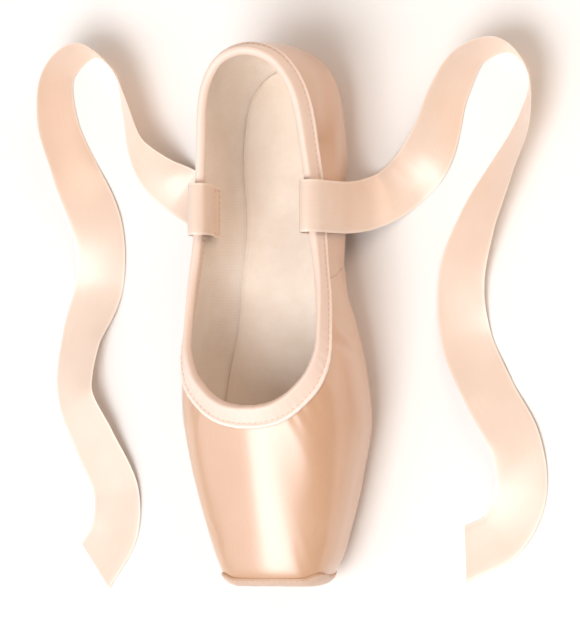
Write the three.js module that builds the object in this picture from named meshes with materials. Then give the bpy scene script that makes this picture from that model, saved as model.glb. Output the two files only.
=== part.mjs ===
// A pointe shoe on a straight last: upper, outsole, insole, collar binding, toe cap and two ribbons.
// Millimetres: +X to the toe, +Y to the wearer's left, +Z up, and the origin on the floor under the middle.
import * as THREE from "three";

// Driving sizes of the shoe
const shoeLength = 232; // back of the heel to the face of the toe cap
const ballWidth = 81; // across the wings, the widest place
const heelHeight = 60; // collar at the back
const waistHeight = 46; // collar at its lowest, beside the arch
const instepHeight = 56; // collar at the throat
const archHeight = 6; // rise of the underside at the waist
const toeSpring = 6; // rise of the underside at the platform

// Thicknesses and gaps
const quarterWall = 2; // satin, canvas and lining
const boxWall = 3; // the same layers stiffened with paste
const soleThickness = 2.6;
const soleFrontThickness = 1.7; // the sole is skived towards its front end
const soleBevel = 0.6;
const insoleThickness = 2;
const tapeThickness = 1.1; // the binding tape, folded double
const capThickness = 0.7;
const seat = 0.3; // gap between pieces that meet

// Places along the shoe, from the back of the heel
const heelX = -shoeLength / 2;
const lastLength = shoeLength - seat - capThickness;
const heelFlatEnd = heelX + 62;
const ballFlatStart = heelX + 132;
const springStart = heelX + 176;
const heelCollar = heelX + 5;
const collarDip = heelX + 90;
const throat = heelX + 157;
const heelSweep = 1.8; // how late the collar rises from its dip to the heel
const throatSweep = 1.6; // and from its dip to the throat
const boxStartTurn = 0.5; // where the wall starts to thicken into the box, as a turn round the last
const boxFullTurn = 0.72;
const soleSkiveStart = heelX + 185;
const soleFront = heelX + 213;

// Depths of the pieces that follow an edge
const lastingMargin = 4; // upper folded in under the sole's edge
const bindingDepth = 8;
const foldRoundness = 0.7; // how square the binding is folded over the collar
const insoleSpread = 3.6; // how much wider the insole's top is than the sole
const insoleSeatInset = 0.4; // how much wider its underside is
const capStartTurn = 0.905; // the toe cap's side seam, as a turn round the last
const capSkip = 0.012; // share of the lower arc left bare in front of the sole
const capReach = 0.36; // share of the upper arc that the cap covers
const capLeastReach = 0.2; // share of that at its sides, where its corners are rounded off
const capFullTurn = 0.932; // where a rounded corner runs into the upper edge

// Facets
const stepsPerSection = 3;
const lowArcSteps = 5;
const highArcSteps = 7;
const bindingSteps = 3;
const ribbonSteps = 74;
const turnNudge = 0.002; // half the stretch of outline that gives its direction
const leastTurn = 0.004; // the closest that two sections lie, and the tip that is cut square at a round end
const depthSteps = 60; // pieces of an arc that are added up to measure along it

// The last, from heel to toe, with one row for each section from the sole's edge up the wall to the collar.
// turn is the share of the way round one side. Along is a share of the last's length, out of half the ball's
// width, shoulderUp of the heel's height, and a pull draws an arc towards its corner.
const sectionColumns = [
  "turn", "wallAlong", "wallOut", "shoulderUp", "collarAlong", "collarOut",
  "edgeAlong", "edgeOut", "lowPull", "highPull",
];
const sectionRows = [
  [0.000, 0.000, 0.000, 0.767, 0.024, 0.000, 0.056, 0.000, 1.0, 0.9], // back of the heel
  [0.065, 0.024, 0.407, 0.758, 0.043, 0.309, 0.069, 0.222, 1.0, 0.9], // turn of the heel
  [0.130, 0.087, 0.642, 0.717, 0.097, 0.506, 0.117, 0.390, 1.0, 0.9], // side of the heel
  [0.240, 0.217, 0.736, 0.650, 0.216, 0.605, 0.221, 0.444, 0.9, 0.9], // quarter
  [0.370, 0.368, 0.736, 0.600, 0.362, 0.674, 0.368, 0.370, 0.8, 0.9], // waist
  [0.480, 0.498, 0.830, 0.608, 0.470, 0.736, 0.498, 0.457, 0.9, 0.9], // joint
  [0.577, 0.606, 0.953, 0.642, 0.554, 0.748, 0.606, 0.593, 1.2, 0.9], // ball
  [0.652, 0.693, 1.000, 0.667, 0.608, 0.674, 0.693, 0.654, 1.4, 0.95], // wing
  [0.744, 0.801, 0.888, 0.650, 0.651, 0.481, 0.788, 0.630, 1.7, 1.15], // side of the box
  [0.833, 0.901, 0.745, 0.560, 0.673, 0.284, 0.857, 0.530, 2.2, 1.8], // front of the box
  [0.889, 0.964, 0.628, 0.505, 0.678, 0.178, 0.892, 0.440, 2.6, 3.0], // turn of the toe
  [0.920, 0.994, 0.512, 0.508, 0.679, 0.126, 0.909, 0.345, 3.0, 4.5], // corner of the platform
  [0.942, 1.000, 0.375, 0.543, 0.680, 0.092, 0.918, 0.224, 3.2, 6.0], // edge of the platform
  [1.000, 1.000, 0.000, 0.575, 0.680, 0.000, 0.921, 0.000, 3.2, 6.0], // middle of the platform
];
const oddColumns = ["wallOut", "collarOut", "edgeOut"]; // these change sign across the middle of heel and toe

// Ribbons
const ribbonWidth = 22;
const ribbonThickness = 0.8;
const ribbonSlant = 5; // half the length of the slanted cut
const ribbonSettleRows = 4; // rows of the climb over which the ribbon turns into its way along the floor
// The climb starts on the lining, goes over the collar and falls to the floor: x, y, z for the left ribbon.
const ribbonClimb = [
  [-44, 25.2, 24],
  [-44, 24.4, 32],
  [-44, 21.7, 39],
  [-44, 20.9, 46],
  [-44, 22.3, 50.4],
  [-44, 26.0, 51.8],
  [-44, 29.5, 48.6],
  [-44.2, 30.8, 40],
  [-44.6, 32.0, 29],
  [-45.4, 33.6, 18],
  [-47.4, 37.8, 8.5],
  [-51.2, 44.5, 2.6],
];
// The rest lies on the floor: x, distance from the middle, and how far it stands up on its edge, in degrees.
const leftFloorRoute = [
  [-57, 52, 5],
  [-65, 60.5, 22],
  [-78, 68, 46],
  [-94, 74, 62],
  [-109, 84, 74],
  [-113, 99, 78],
  [-101, 110, 74],
  [-81, 108, 60],
  [-60, 97, 42],
  [-38, 85, 24],
  [-14, 77, 8],
  [11, 79, -6],
  [34, 90, -22],
  [55, 101, -16],
  [77, 103, -6],
  [94, 94, 0],
  [102, 78, 0],
];
const rightFloorRoute = [
  [-56, 52.5, 5],
  [-63, 62, 24],
  [-75, 71, 48],
  [-93, 76, 62],
  [-110, 82, 74],
  [-119, 95, 78],
  [-109, 108, 76],
  [-88, 109, 62],
  [-65, 101, 42],
  [-41, 92, 20],
  [-16, 92, 4],
  [8, 100, -14],
  [32, 102, -24],
  [54, 93, -14],
  [75, 84, -2],
  [93, 85, 0],
  [108, 94, 0],
];

// Finishes
const satin = { color: 0xf0c5a6, roughness: 0.32, metalness: 0 };
const tapeSatin = { color: 0xf6d9c6, roughness: 0.35, metalness: 0 };
const ribbonSatin = { color: 0xf5d3bf, roughness: 0.3, metalness: 0 };
const capSatin = { color: 0xd9b48f, roughness: 0.5, metalness: 0 };
const suede = { color: 0xd6cab9, roughness: 0.9, metalness: 0 };
const sockCotton = { color: 0xe9dccb, roughness: 0.95, metalness: 0 };

// The table with a mirrored row before the heel and one after the toe, so that it runs on across the middle.
function mirroredRow(row, turn) {
  const mirrored = row.map((value, i) => (oddColumns.includes(sectionColumns[i]) ? -value : value));
  mirrored[0] = turn;
  return mirrored;
}
const afterHeel = sectionRows[1];
const beforeToe = sectionRows[sectionRows.length - 2];
const lastRows = [
  mirroredRow(afterHeel, -afterHeel[0]),
  ...sectionRows,
  mirroredRow(beforeToe, 2 - beforeToe[0]),
];

// One column of the table at any turn, by a monotone cubic through its rows.
function columnAt(column, turn) {
  const place = sectionColumns.indexOf(column);
  const width = (i) => lastRows[i + 1][0] - lastRows[i][0];
  const steepness = (i) => (lastRows[i + 1][place] - lastRows[i][place]) / width(i);
  const slopeAt = (i) => {
    const [before, after] = [steepness(i - 1), steepness(i)];
    const [left, right] = [width(i - 1), width(i)];
    const mean = (before * right + after * left) / (left + right);
    const least = Math.min(Math.abs(before), Math.abs(after), Math.abs(mean) / 2);
    return (Math.sign(before) + Math.sign(after)) * least;
  };
  let i = 1;
  while (i < sectionRows.length - 1 && turn > lastRows[i + 1][0]) i++;
  const t = (turn - lastRows[i][0]) / width(i);
  const ease = t * t * (3 - 2 * t);
  const between = THREE.MathUtils.lerp(lastRows[i][place], lastRows[i + 1][place], ease);
  return between + width(i) * t * (1 - t) * (slopeAt(i) * (1 - t) - slopeAt(i + 1) * t);
}

// Height of the upper's underside: flat at heel and ball, arched between them, rising to the toe.
function underside(x) {
  const archShare = THREE.MathUtils.clamp((x - heelFlatEnd) / (ballFlatStart - heelFlatEnd), 0, 1);
  const springShare = Math.max(0, (x - springStart) / (shoeLength / 2 - springStart));
  const rise = archHeight * Math.sin(Math.PI * archShare) ** 2 + toeSpring * springShare ** 2;
  return soleThickness + seat + rise;
}

// Height of the collar: high at the heel, low beside the arch, up again to the throat.
function collarHeight(x) {
  const toHeel = [heelHeight, heelCollar, heelSweep];
  const toThroat = [instepHeight, throat, throatSweep];
  const [peak, end, sweep] = x < collarDip ? toHeel : toThroat;
  const share = Math.min(1, (x - collarDip) / (end - collarDip));
  return waistHeight + (peak - waistHeight) * share ** sweep;
}

function wallThickness(turn) {
  const stiffened = THREE.MathUtils.smoothstep(turn, boxStartTurn, boxFullTurn);
  return THREE.MathUtils.lerp(quarterWall, boxWall, stiffened);
}

// The plan point of an outline, and its outward direction, at a turn on one side (1 left, -1 right).
function outlineAt(outline, turn, side) {
  const point = (at) => {
    const isPast = at < 0 || at > 1;
    const folded = at < 0 ? -at : Math.min(at, 2 - at);
    const out = (columnAt(outline + "Out", folded) * ballWidth) / 2;
    return new THREE.Vector2(heelX + columnAt(outline + "Along", folded) * lastLength, isPast ? -out : out);
  };
  const along = point(turn + turnNudge).sub(point(turn - turnNudge)).normalize();
  const at = point(turn);
  return { at: new THREE.Vector2(at.x, side * at.y), out: new THREE.Vector2(-along.y, side * along.x) };
}

function above(plan, z) {
  return new THREE.Vector3(plan.x, plan.y, z);
}

// One conic arc: it leaves start towards corner and arrives at end from it.
function conic(start, corner, end, pull, t) {
  const [a, b, c] = [(1 - t) ** 2, 2 * pull * t * (1 - t), t * t];
  return start
    .clone()
    .multiplyScalar(a)
    .addScaledVector(corner, b)
    .addScaledVector(end, c)
    .divideScalar(a + b + c);
}

// A section of the last, inset from the upper's outer face (negative is outside it). low(t) runs from the
// sole's edge to the middle of the wall, high(t) from there to the collar, and rise points up at the collar.
function sectionCurve(turn, side, inset) {
  const wall = outlineAt("wall", turn, side);
  const edge = outlineAt("edge", turn, side);
  const collar = outlineAt("collar", turn, side);
  const collarZ = collarHeight(collar.at.x);
  const shoulderZ = columnAt("shoulderUp", turn) * heelHeight;
  const run = wall.at.distanceTo(collar.at);
  const climb = collarZ - shoulderZ;
  const slope = Math.hypot(run, climb);
  const wallPlan = wall.at.clone().addScaledVector(wall.out, -inset);
  const collarPlan = collar.at.clone().addScaledVector(collar.out, (-inset * climb) / slope);
  const start = above(edge.at, underside(edge.at.x) + inset);
  const foot = above(wallPlan, underside(wall.at.x) + inset);
  const shoulderDrop = (-inset * run) / slope + ((inset - (inset * climb) / slope) / run) * climb;
  const shoulder = above(wallPlan, shoulderZ + shoulderDrop);
  const top = above(collarPlan, collarZ - (inset * run) / slope);
  const middle = foot.clone().lerp(shoulder, 0.5);
  const [lowPull, highPull] = [columnAt("lowPull", turn), columnAt("highPull", turn)];
  const fold = edge.at.clone().addScaledVector(edge.out, -lastingMargin);
  return {
    fold: above(fold, underside(fold.x) + inset),
    low: (t) => conic(start, foot, middle, lowPull, t),
    high: (t) => conic(middle, shoulder, top, highPull, t),
    rise: top.clone().sub(shoulder).normalize(),
  };
}

// Where on the high arc the rest of it, up to the collar, is as long as depth.
function highAtDepth(curve, depth) {
  let length = 0;
  for (let i = depthSteps; i > 0; i--) {
    const step = curve.high(i / depthSteps).distanceTo(curve.high((i - 1) / depthSteps));
    if (length + step > depth) return (i - (depth - length) / step) / depthSteps;
    length += step;
  }
  return 0;
}

function evenSteps(from, to, count) {
  return Array.from({ length: count + 1 }, (_, i) => from + ((to - from) * i) / count);
}

// Turns from heel to toe, a few for each row of the table.
function turnsBetween(first, last) {
  const turns = [];
  for (let i = 0; i < sectionRows.length - 1; i++) {
    turns.push(...evenSteps(sectionRows[i][0], sectionRows[i + 1][0], stepsPerSection).slice(0, -1));
  }
  return [first, ...turns.filter((turn) => turn > first + leastTurn && turn < last - leastTurn), last];
}

// The way round the whole shoe: from the heel up the left side to the toe and back down the right side.
function stationsAround() {
  const turns = turnsBetween(0, 1);
  const back = turns.slice(1, -1).reverse();
  return [...turns.map((turn) => ({ turn, side: 1 })), ...back.map((turn) => ({ turn, side: -1 }))];
}

// A solid through rings with equally many points, closed into a loop or capped at both ends. The first half
// of a ring runs along one face of the piece, and the second half comes back along the other.
function solidThrough(rings, isLoop) {
  const count = rings[0].length;
  const faces = [];
  const quad = (a, b, c, d) => faces.push(a, b, c, a, c, d);
  const spans = isLoop ? rings.length : rings.length - 1;
  for (let i = 0; i < spans; i++) {
    const here = i * count;
    const next = ((i + 1) % rings.length) * count;
    for (let k = 0; k < count; k++) {
      const after = (k + 1) % count;
      // Both faces are split along the same diagonal, so that a thin twisted piece keeps its thickness.
      if (k < count / 2) quad(here + k, here + after, next + after, next + k);
      else quad(here + after, next + after, next + k, here + k);
    }
  }
  const end = (rings.length - 1) * count;
  for (let k = 0; !isLoop && k < count / 2 - 1; k++) {
    const across = count - 1 - k;
    quad(across, across - 1, k + 1, k);
    quad(end + k, end + k + 1, end + across - 1, end + across);
  }
  const points = rings.flat();
  let volume = 0;
  for (let i = 0; i < faces.length; i += 3) {
    const [a, b, c] = faces.slice(i, i + 3).map((corner) => points[corner]);
    volume += a.dot(b.clone().cross(c));
  }
  const geometry = new THREE.BufferGeometry();
  geometry.setFromPoints(points);
  geometry.setIndex(volume > 0 ? faces : faces.reverse());
  return geometry;
}

// The upper: one wall round the foot, open at the collar and folded in under the sole's edge.
function upperSolid() {
  const face = (turn, side, inset) => {
    const curve = sectionCurve(turn, side, inset);
    const lowArc = evenSteps(0, 1, lowArcSteps).map(curve.low);
    const highArc = evenSteps(0, 1, highArcSteps).map(curve.high);
    return [curve.fold, ...lowArc, ...highArc.slice(1)];
  };
  const rings = stationsAround().map(({ turn, side }) => [
    ...face(turn, side, 0),
    ...face(turn, side, wallThickness(turn)).reverse(),
  ]);
  return solidThrough(rings, true);
}

// The outsole: the edge outline with a small bevel round its lower edge, skived thinner towards the front.
function outsoleSolid() {
  const rings = turnsBetween(leastTurn, 1 - leastTurn).map((turn) => {
    const { x, y } = outlineAt("edge", turn, 1).at;
    const skive = THREE.MathUtils.smoothstep(x, soleSkiveStart, soleFront);
    const top = underside(x) - seat;
    const bottom = top - THREE.MathUtils.lerp(soleThickness, soleFrontThickness, skive);
    const bevel = Math.min(soleBevel, y / 2);
    return [
      new THREE.Vector3(x, -y, bottom + bevel),
      new THREE.Vector3(x, bevel - y, bottom),
      new THREE.Vector3(x, y - bevel, bottom),
      new THREE.Vector3(x, y, bottom + bevel),
      new THREE.Vector3(x, y, top),
      new THREE.Vector3(x, -y, top),
    ];
  });
  return solidThrough(rings, false);
}

// The insole: lies on the folded-in edge of the upper and closes the shoe from inside.
function insoleSolid() {
  const rings = turnsBetween(leastTurn, 1 - leastTurn).map((turn) => {
    const { at, out } = outlineAt("edge", turn, 1);
    const low = at.clone().addScaledVector(out, insoleSeatInset);
    const high = at.clone().addScaledVector(out, insoleSpread);
    const bottom = underside(at.x) + wallThickness(turn) + seat;
    const top = bottom + insoleThickness;
    return [
      new THREE.Vector3(low.x, -low.y, bottom),
      new THREE.Vector3(low.x, low.y, bottom),
      new THREE.Vector3(high.x, high.y, top),
      new THREE.Vector3(high.x, -high.y, top),
    ];
  });
  return solidThrough(rings, false);
}

// The binding: a tape folded over the collar, down the outside and down the lining.
function bindingSolid() {
  const rings = stationsAround().map(({ turn, side }) => {
    const wall = wallThickness(turn);
    const strip = (inset) => {
      const curve = sectionCurve(turn, side, inset);
      const points = evenSteps(highAtDepth(curve, bindingDepth), 1, bindingSteps).map(curve.high);
      return { points, rise: curve.rise };
    };
    const outer = strip(-seat - tapeThickness);
    const outerSeat = strip(-seat);
    const innerSeat = strip(wall + seat);
    const inner = strip(wall + seat + tapeThickness);
    const lift = (from, height) => from.points[bindingSteps].clone().addScaledVector(outerSeat.rise, height);
    const crest = seat + tapeThickness;
    const fold = crest * foldRoundness;
    return [
      ...outer.points,
      lift(outer, fold),
      lift(outer, crest).lerp(lift(inner, crest), 1 - foldRoundness),
      lift(outer, crest).lerp(lift(inner, crest), foldRoundness),
      lift(inner, fold),
      ...inner.points.reverse(),
      ...innerSeat.points,
      lift(innerSeat, seat),
      lift(outerSeat, seat),
      ...outerSeat.points.reverse(),
    ];
  });
  return solidThrough(rings, true);
}

// The toe cap: a patch over the platform, from the front of the sole to just over the platform's upper edge.
function toeCapSolid() {
  const turns = turnsBetween(capStartTurn, 1);
  const back = turns.slice(0, -1).reverse();
  const stations = [...turns.map((turn) => ({ turn, side: 1 })), ...back.map((turn) => ({ turn, side: -1 }))];
  const face = (turn, side, inset) => {
    const curve = sectionCurve(turn, side, inset);
    const lowArc = evenSteps(capSkip, 1, lowArcSteps).map(curve.low);
    const share = THREE.MathUtils.clamp((turn - capStartTurn) / (capFullTurn - capStartTurn), 0, 1);
    const rounded = THREE.MathUtils.lerp(capLeastReach, 1, Math.sqrt(1 - (1 - share) ** 2));
    const highArc = evenSteps(0, capReach * rounded, highArcSteps).map(curve.high);
    return [...lowArc, ...highArc.slice(1)];
  };
  const rings = stations.map(({ turn, side }) => [
    ...face(turn, side, -seat - capThickness),
    ...face(turn, side, -seat).reverse(),
  ]);
  return solidThrough(rings, false);
}

// A ribbon: sewn to the lining, over the collar and loose on the floor, with its free end cut on the slant.
function ribbonSolid(floorRoute, side) {
  const up = new THREE.Vector3(0, 0, 1);
  const floorZ = (lean) => ribbonThickness / 2 + (ribbonWidth / 2) * Math.abs(Math.sin(lean));
  const leanOf = (degrees) => side * THREE.MathUtils.degToRad(degrees);
  const climb = ribbonClimb.map(([x, y, z]) => new THREE.Vector3(x, side * y, z));
  const lie = floorRoute.map(([x, y, lean]) => new THREE.Vector3(x, side * y, floorZ(leanOf(lean))));
  const leans = [...climb.map(() => 0), ...floorRoute.map(([, , lean]) => leanOf(lean))];
  const curve = new THREE.CatmullRomCurve3([...climb, ...lie], false, "centripetal");
  const rings = evenSteps(0, 1, ribbonSteps).map((t, i) => {
    const place = t * (leans.length - 1);
    const row = Math.min(Math.floor(place), leans.length - 2);
    const lean = THREE.MathUtils.lerp(leans[row], leans[row + 1], place - row);
    const at = curve.getPoint(t);
    const along = curve.getTangent(t);
    const settled = THREE.MathUtils.smoothstep(place, climb.length - ribbonSettleRows, climb.length);
    const level = new THREE.Vector3(-side, 0, 0).lerp(up.clone().cross(along).normalize(), settled);
    const across = level.addScaledVector(along, -level.dot(along)).normalize().applyAxisAngle(along, lean);
    const face = along.clone().cross(across).normalize();
    const slant = i === ribbonSteps ? ribbonSlant : 0;
    const reach = (Math.abs(across.z) * ribbonWidth + Math.abs(face.z) * ribbonThickness) / 2;
    at.z = Math.max(at.z, reach + Math.abs(along.z) * slant);
    const corner = (u, v) =>
      at
        .clone()
        .addScaledVector(across, (u * ribbonWidth) / 2)
        .addScaledVector(face, (v * ribbonThickness) / 2)
        .addScaledVector(along, u * slant);
    return [corner(-1, 1), corner(1, 1), corner(1, -1), corner(-1, -1)];
  });
  return solidThrough(rings, false);
}

function piece(name, geometry, finish) {
  const mesh = new THREE.Mesh(geometry, new THREE.MeshStandardMaterial(finish));
  mesh.name = name;
  return mesh;
}

const shoe = new THREE.Group();
shoe.name = "pointe_shoe";
shoe.add(
  piece("upper", upperSolid(), satin),
  piece("outsole", outsoleSolid(), suede),
  piece("insole", insoleSolid(), sockCotton),
  piece("collar_binding", bindingSolid(), tapeSatin),
  piece("toe_cap", toeCapSolid(), capSatin),
  piece("ribbon_left", ribbonSolid(leftFloorRoute, 1), ribbonSatin),
  piece("ribbon_right", ribbonSolid(rightFloorRoute, -1), ribbonSatin),
);

export default shoe;
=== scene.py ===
# Pointe shoe in peach satin, standing empty with its two ribbons laid out beside it.
import math
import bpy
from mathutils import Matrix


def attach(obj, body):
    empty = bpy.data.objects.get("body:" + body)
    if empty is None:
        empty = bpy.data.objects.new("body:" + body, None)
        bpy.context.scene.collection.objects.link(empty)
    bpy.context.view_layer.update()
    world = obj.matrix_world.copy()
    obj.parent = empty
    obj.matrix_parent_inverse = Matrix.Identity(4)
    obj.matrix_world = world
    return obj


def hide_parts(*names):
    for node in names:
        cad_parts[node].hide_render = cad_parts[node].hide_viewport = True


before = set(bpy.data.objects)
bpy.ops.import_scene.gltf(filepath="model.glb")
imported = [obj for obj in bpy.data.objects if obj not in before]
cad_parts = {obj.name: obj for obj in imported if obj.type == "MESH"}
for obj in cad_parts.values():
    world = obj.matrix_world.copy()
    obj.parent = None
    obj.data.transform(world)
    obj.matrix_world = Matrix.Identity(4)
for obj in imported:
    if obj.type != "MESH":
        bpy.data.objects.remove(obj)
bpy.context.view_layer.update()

from types import SimpleNamespace
import bpy
import numpy as np
from mathutils import Matrix, Vector

mm = 0.001
print("stage: frame loaded")

# Camera, lights and floor

view = {
    "centre": (-0.002, 0.004, 0.016),
    "towards": (0.05, 0.37, 0.93),  # from the shoe to the camera
    "distance": 1.7,
    "tall": 0.266,  # what the picture's height spans at the centre
    "farClip": 20.0,
}
studio = {
    "world": 0.32,
    "floor": "F6F4F1", "floorRough": 0.9, "floorReach": 4.0,
    # direction from the shoe, distance, length along and across the shoe, watts and tint
    "lamps": {
        "strip": ((0.46, -0.115, 0.87), 2.0, (1.4, 1.16), 33.0, "FCFDFF"),
        "soft": ((0.36, -0.72, 0.60), 1.6, (1.0, 1.2), 5.8, "F5F4FA"),
        "fill": ((-0.55, 0.62, 0.56), 1.6, (1.0, 1.0), 9.5, "FFE0C8"),
    },
}


def linear(hexText):
    channels = [int(hexText[i:i + 2], 16) / 255 for i in (0, 2, 4)]
    return tuple(c / 12.92 if c <= 0.04045 else ((c + 0.055) / 1.055) ** 2.4 for c in channels) + (1.0,)


# Adds a node, sets or links its inputs, and gives back one of its outputs
def addNode(tree, kind, inputs=None, out=0, **settings):
    node = tree.nodes.new(kind)
    for name, value in settings.items():
        setattr(node, name, value)
    for socket, value in (inputs or {}).items():
        if isinstance(value, bpy.types.NodeSocket):
            tree.links.new(value, node.inputs[socket])
        else:
            node.inputs[socket].default_value = value
    return node.outputs[out]


def newMaterial(name, shaderValues):
    material = bpy.data.materials.new(name)
    material.use_nodes = True
    shader = material.node_tree.nodes["Principled BSDF"]
    for socket, value in shaderValues.items():
        shader.inputs[socket].default_value = value
    return material, material.node_tree, shader


def place(name, data):
    piece = bpy.data.objects.new(name, data)
    bpy.context.scene.collection.objects.link(piece)
    return piece


def facing(spot, back, up):
    back = Vector(back).normalized()
    right = Vector(up).cross(back).normalized()
    turned = Matrix((right, back.cross(right), back)).transposed().to_4x4()
    return Matrix.Translation(spot) @ turned


cameraData = bpy.data.cameras.new("photoCamera")
cameraData.lens = cameraData.sensor_width * view["distance"] / view["tall"]
cameraData.clip_end = view["farClip"]
camera = place("photoCamera", cameraData)
towards = Vector(view["towards"]).normalized()
camera.matrix_world = facing(Vector(view["centre"]) + towards * view["distance"], towards, (-1, 0, 0))
bpy.context.scene.camera = camera

for name, (direction, distance, size, watts, tint) in studio["lamps"].items():
    lampData = bpy.data.lights.new(name, "AREA")
    lampData.shape = "RECTANGLE"
    lampData.size, lampData.size_y = size
    lampData.energy = watts
    lampData.color = linear(tint)[:3]
    away = Vector(direction).normalized()
    place(name, lampData).matrix_world = facing(away * distance, away, (0, 1, 0))

world = bpy.data.worlds.new("studioWorld")
bpy.context.scene.world = world
world.use_nodes = True
world.node_tree.nodes["Background"].inputs["Color"].default_value = (1, 1, 1, 1)
world.node_tree.nodes["Background"].inputs["Strength"].default_value = studio["world"]
bpy.context.scene.view_settings.view_transform = "Standard"

far = studio["floorReach"]
floorMesh = bpy.data.meshes.new("floor")
floorMesh.from_pydata([(-far, -far, 0), (far, -far, 0), (far, far, 0), (-far, far, 0)], [], [(0, 1, 2, 3)])
floorPaper = newMaterial("paper sweep, matt white", {
    "Base Color": linear(studio["floor"]), "Roughness": studio["floorRough"]})[0]
floorMesh.materials.append(floorPaper)
place("floor", floorMesh)
print("stage: camera, lights and floor")

# Materials


# Noise in spots of one size in mm, or stretched by three
def noise(tree, spot, size, detail=2.0, rough=0.5):
    scale = 1.0
    if isinstance(size, tuple):
        stretch = tuple(1 / (s * mm) for s in size)
        spot = addNode(tree, "ShaderNodeMapping", {"Vector": spot, "Scale": stretch})
    else:
        scale = 1 / (size * mm)
    return addNode(tree, "ShaderNodeTexNoise", {
        "Vector": spot, "Scale": scale, "Detail": detail, "Roughness": rough}, "Fac")


def ranged(tree, value, span, first, final, **settings):
    return addNode(tree, "ShaderNodeMapRange", dict(enumerate((value, *span, first, final))), **settings)


def mixed(tree, share, first, second):
    return addNode(tree, "ShaderNodeMix", {0: share, 6: first, 7: second}, 2, data_type="RGBA")


# The cloth's own colour, from shade to light as its clouds and its grain vary
def toned(tree, look, weave, clouds, grain):
    tone = addNode(tree, "ShaderNodeMix", {0: weave["grainShare"], 2: clouds, 3: grain}, data_type="FLOAT")
    tone = ranged(tree, tone, weave["tone"], 0.0, 1.0)
    return mixed(tree, tone, linear(look["shade"]), linear(look["light"]))


def dress(tree, shader, look, weave, colour, grain):
    bump = addNode(tree, "ShaderNodeBump", {
        "Height": grain, "Strength": weave["relief"], "Distance": look["bump"] * mm})
    tree.links.new(colour, shader.inputs["Base Color"])
    tree.links.new(bump, shader.inputs["Normal"])


# Satin is woven from polyester with long floats side by side: a broad gloss that runs along the threads,
# faint streaks, and dark lines at its seams and sewn edges. Some marks paint light and shade instead: a
# painted shade below the binding and along the sole, and a painted highlight on the binding's lip and along
# the ribbon's edges. The threads are 0.1 mm apart and are drawn as streaks about 0.6 mm wide, because
# they would not show otherwise.
satinWeave = {
    "ior": 1.6, "glossAlong": 0.5, "coatRough": 0.3,
    "clouds": 26.0,  # soft patches of tone, in mm
    "grainShare": 0.3, "tone": (0.25, 0.75), "streaks": (0.3, 0.7), "roughSpread": 0.03, "relief": 0.5,
}
# marks: attribute, the gaps in mm where the colour is full and where it is gone, colour and weight
satinLooks = {
    "upper": {"name": "polyester satin, woven", "shade": "CE9D77", "light": "D6A986",
              "rough": 0.36, "gloss": 0.85, "coat": 1.0,
              "streak": (22.0, 0.7, 0.7), "space": "Object", "bump": 0.012,
              "marks": [("sideGap", 0.2, 0.5, "B07A55", 0.7), ("backGap", 0.2, 0.5, "B07A55", 0.55),
                        # bindingGap paints a shade just below the binding, and soleGap paints a shade near
                        # the sole
                        ("bindingGap", 0.3, 1.5, "B98560", 0.7), ("soleGap", 0.4, 5.0, "CC9368", 0.55)]},
    "tape": {"name": "satin binding tape, woven", "shade": "EED1BE", "light": "F3DCCD",
             "rough": 0.5, "gloss": 0.5, "coat": 0.1,
             "streak": (0.6, 4.0, 1.0), "space": "UV", "bump": 0.012,
             # lipGap paints a highlight: a paler line along the tape's rolled lip
             "marks": [("lipGap", 0.5, 1.1, "FBEBE0", 0.7)]},
    "ribbon": {"name": "satin ribbon, woven", "shade": "EBCFB9", "light": "F1DAC8",
               "rough": 0.4, "gloss": 0.7, "coat": 0.2,
               "streak": (14.0, 0.6, 1.0), "space": "UV", "bump": 0.014,
               # selvedge paints a highlight: a paler band along both edges of the ribbon
               "marks": [("selvedge", 0.5, 1.3, "F8E6D6", 0.7)]},
    "cap": {"name": "cotton satin, worn matt", "shade": "CFAA90", "light": "D7B7A2",
            "rough": 0.45, "gloss": 0.5, "coat": 0.1,
            "streak": (0.6, 1.6, 0.6), "space": "Object", "bump": 0.09,
            "marks": [("capGap", 0.2, 1.4, "B48860", 0.7), ("rubGap", 1.0, 9.0, "A98A6B", 0.45)]},
}


def satin(look):
    weave = satinWeave
    material, tree, shader = newMaterial(look["name"], {
        "IOR": weave["ior"], "Specular IOR Level": look["gloss"], "Anisotropic": weave["glossAlong"],
        "Coat Weight": look["coat"], "Coat Roughness": weave["coatRough"], "Coat IOR": weave["ior"]})
    spot = addNode(tree, "ShaderNodeTexCoord", out=look["space"])
    streaks = noise(tree, spot, look["streak"], 1.0)
    colour = toned(tree, look, weave, noise(tree, spot, weave["clouds"]), streaks)
    for attribute, near, gone, markColour, weight in look["marks"]:
        gap = addNode(tree, "ShaderNodeAttribute", out="Fac", attribute_name=attribute)
        gap = addNode(tree, "ShaderNodeMath", {0: gap}, operation="ABSOLUTE")
        share = ranged(tree, gap, (near, gone), weight, 0.0, interpolation_type="SMOOTHSTEP")
        colour = mixed(tree, share, colour, linear(markColour))
    dress(tree, shader, look, weave, colour, streaks)
    spread = weave["roughSpread"]
    rough = ranged(tree, streaks, weave["streaks"], look["rough"] - spread, look["rough"] + spread)
    tree.links.new(rough, shader.inputs["Roughness"])
    if look["space"] == "UV":
        along = addNode(tree, "ShaderNodeTangent", direction_type="UV_MAP", uv_map="weave")
    else:
        along = addNode(tree, "ShaderNodeCombineXYZ", {"X": 1.0})
    tree.links.new(along, shader.inputs["Tangent"])
    return material


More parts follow.
